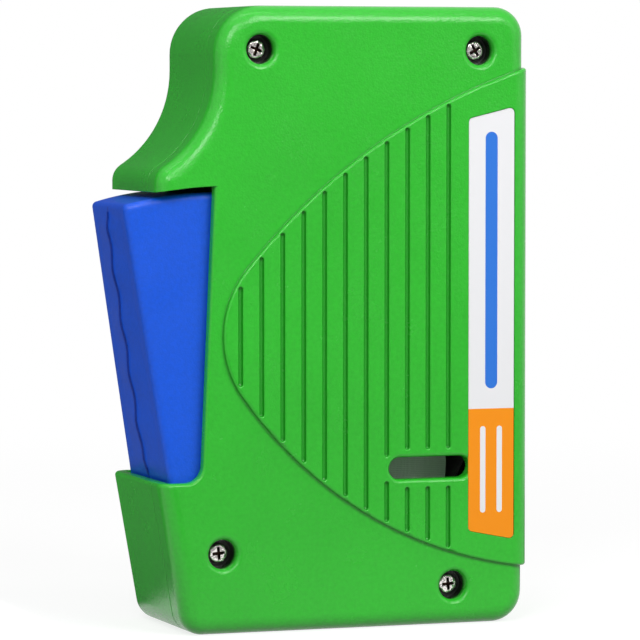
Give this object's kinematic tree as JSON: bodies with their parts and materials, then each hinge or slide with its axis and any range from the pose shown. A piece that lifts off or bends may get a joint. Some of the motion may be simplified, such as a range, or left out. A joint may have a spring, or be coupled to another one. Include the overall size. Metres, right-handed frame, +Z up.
{
  "type": "fibre optic cleaning cassette",
  "caption": "Hand-held green case with a blue finger lever that winds wiping tape past a slotted side window and lifts a shutter.",
  "frame": {"origin": "on the flat base, midway between front and back faces", "axes": "+Z up the case, +Y from the ribbed front to the back, +X towards the wiping window"},
  "size_m": [0.0801, 0.0338, 0.118],
  "materials": {
    "green": "satin, finely textured",
    "blue": "satin",
    "sticker": "printed film, white above and orange below",
    "steel": "nickel plated",
    "natural": "moulded, natural white",
    "dark": "moulded, black",
    "tape": "fine woven wiping cloth",
    "felt": "pressed felt",
    "soft": "soft silicone"
  },
  "bodies": {
    "casing": {"front_shell": "green", "rear_shell": "green", "case_screws": "steel", "label": "sticker", "window_plate": "dark", "pad_holder": "dark", "wiping_pad": "soft", "roller_pins": "steel", "tape_run": "tape", "stop_pawl": "natural", "drag_washer": "felt", "lever_spring": "steel"},
    "lever": {"lever": "blue"},
    "drive_gear": {"drive_gear": "natural", "clutch_spring": "steel"},
    "shutter": {"shutter": "dark"},
    "take_up": {"take_up_reel": "natural", "take_up_tape": "tape"},
    "supply": {"supply_reel": "natural", "supply_tape": "tape"},
    "lower_roller": {"lower_roller": "natural"},
    "upper_roller": {"upper_roller": "natural"}
  },
  "joints": [
    {"name": "lever_hinge", "type": "hinge", "parent": "casing", "child": "lever", "pos_m": [-0.0241, 0, 0.0152], "axis": [0, 1, 0], "range_deg": [0, 14], "stiffness_Nm_per_rad": 0.6, "springref_deg": -22.92, "deforming": ["lever_spring"]},
    {"name": "drive_gear_spin", "type": "hinge", "parent": "casing", "child": "drive_gear", "pos_m": [0.01099, 0, 0.09097], "axis": [0, 1, 0], "range_deg": [-181, 0]},
    {"name": "shutter_slide", "type": "slide", "parent": "casing", "child": "shutter", "axis": [0, 0, 1], "range_m": [0, 0.019]},
    {"name": "supply_spin", "type": "hinge", "parent": "casing", "child": "supply", "pos_m": [0.0023, 0, 0.0304], "axis": [0, 1, 0], "continuous": true},
    {"name": "take_up_spin", "type": "hinge", "parent": "casing", "child": "take_up", "pos_m": [0.01099, 0, 0.09097], "axis": [0, 1, 0], "continuous": true},
    {"name": "lower_roller_spin", "type": "hinge", "parent": "casing", "child": "lower_roller", "pos_m": [0.031, 0, 0.045], "axis": [0, 1, 0], "continuous": true},
    {"name": "upper_roller_spin", "type": "hinge", "parent": "casing", "child": "upper_roller", "pos_m": [0.031, 0, 0.075], "axis": [0, 1, 0], "continuous": true}
  ],
  "couplings": [
    {"joint": "drive_gear_spin", "follows": "lever_hinge", "ratio": -12.917},
    {"joint": "shutter_slide", "follows": "lever_hinge", "m_per_rad": 0.0775},
    {"joint": "take_up_spin", "follows": "supply_spin", "ratio": 2.2632},
    {"joint": "lower_roller_spin", "follows": "supply_spin", "ratio": 7.1667},
    {"joint": "upper_roller_spin", "follows": "supply_spin", "ratio": 7.1667}
  ]
}
